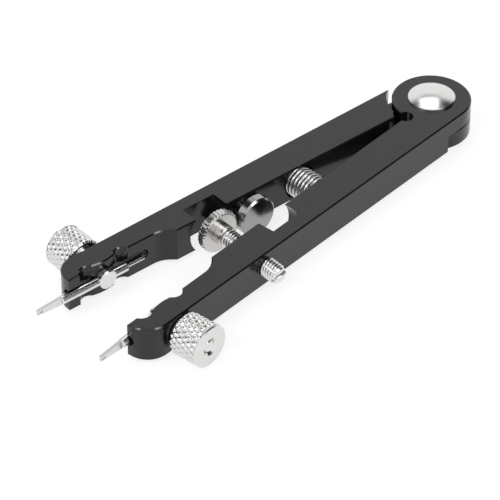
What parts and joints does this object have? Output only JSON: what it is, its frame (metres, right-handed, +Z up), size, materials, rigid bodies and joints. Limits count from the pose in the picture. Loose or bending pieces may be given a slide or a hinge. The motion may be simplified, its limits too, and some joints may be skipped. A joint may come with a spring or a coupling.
{
  "type": "spring bar pliers",
  "caption": "V-shaped spring bar pliers: hinged arms with a return spring, adjustable stops and clamped forked pins at the tips.",
  "frame": {"origin": "centre of the bounding box in plan, on the plane that the rivet cap and the two clamp nuts rest on", "axes": "+Z up along the pivot rivet, fork tips toward -X, pivot toward +X; the X axis bisects the arms"},
  "size_m": [0.1082, 0.0427, 0.0097],
  "materials": {
    "black_arm": "satin black over steel, bright where edges wear",
    "polished_nickel": "polished nickel plate",
    "turned_steel": "fine turned steel, knurled on the nuts and the wheel",
    "pin_steel": "ground hardened steel",
    "spring_steel": "drawn spring wire"
  },
  "bodies": {
    "front": {"front_arm": "black_arm", "pivot_rivet": "polished_nickel", "rivet_cap": "polished_nickel", "arm_spring": "spring_steel"},
    "back": {"back_arm": "black_arm"},
    "stop_hub": {"stop_wheel_hub": "turned_steel"},
    "stop_screw": {"stop_rod": "polished_nickel", "stop_wheel": "polished_nickel"},
    "disc_stem": {"stop_disc_stem": "polished_nickel"},
    "disc": {"stop_disc": "polished_nickel"},
    "front_nut": {"front_clamp_nut": "turned_steel"},
    "front_eye": {"front_eye_bolt": "turned_steel"},
    "front_pin": {"front_fork_pin": "pin_steel"},
    "back_nut": {"back_clamp_nut": "turned_steel"},
    "back_eye": {"back_eye_bolt": "turned_steel"},
    "back_pin": {"back_fork_pin": "pin_steel"}
  },
  "joints": [
    {"name": "arm_hinge", "type": "hinge", "parent": "front", "child": "back", "pos_m": [0.04602, 0, 0.00438], "axis": [0, 0, 1], "range_deg": [0, 4.2], "stiffness_Nm_per_rad": 0.57, "springref_deg": -5.16, "deforming": ["arm_spring"]},
    {"name": "stop_slide", "type": "slide", "parent": "front", "child": "stop_hub", "axis": [0.0771, 0.997, 0], "range_m": [-0.0028, 0]},
    {"name": "stop_spin", "type": "hinge", "parent": "stop_hub", "child": "stop_screw", "pos_m": [-0.01192, 0.00297, 0.00438], "axis": [0.0771, 0.997, 0], "range_deg": [-1445, 0]},
    {"name": "disc_slide", "type": "slide", "parent": "back", "child": "disc_stem", "axis": [0.0771, 0.997, 0], "range_m": [-0.002, 0.0012]},
    {"name": "disc_spin", "type": "hinge", "parent": "disc_stem", "child": "disc", "pos_m": [-0.00333, 0.00121, 0.00438], "axis": [0.0771, 0.997, 0], "range_deg": [-1030, 620]},
    {"name": "front_nut_spin", "type": "hinge", "parent": "front", "child": "front_nut", "pos_m": [-0.03766, -0.0165, 0.00438], "axis": [0.0771, -0.997, 0], "range_deg": [0, 802]},
    {"name": "front_eye_slide", "type": "slide", "parent": "front", "child": "front_eye", "axis": [0.0771, -0.997, 0], "range_m": [-0.001, 0]},
    {"name": "front_pin_slide", "type": "slide", "parent": "front_eye", "child": "front_pin", "axis": [-0.997, -0.0771, 0], "range_m": [-0.0012, 0.003]},
    {"name": "back_nut_spin", "type": "hinge", "parent": "back", "child": "back_nut", "pos_m": [-0.03646, 0.0164, 0.00438], "axis": [0.0771, 0.997, 0], "range_deg": [0, 802]},
    {"name": "back_eye_slide", "type": "slide", "parent": "back", "child": "back_eye", "axis": [0.0771, 0.997, 0], "range_m": [-0.001, 0]},
    {"name": "back_pin_slide", "type": "slide", "parent": "back_eye", "child": "back_pin", "axis": [-0.997, 0.0771, 0], "range_m": [-0.0012, 0.003]}
  ],
  "couplings": [
    {"joint": "stop_spin", "follows": "stop_slide", "rad_per_m": 8976},
    {"joint": "disc_spin", "follows": "disc_slide", "rad_per_m": 8976},
    {"joint": "front_nut_spin", "follows": "front_eye_slide", "rad_per_m": -13963},
    {"joint": "back_nut_spin", "follows": "back_eye_slide", "rad_per_m": -13963}
  ]
}
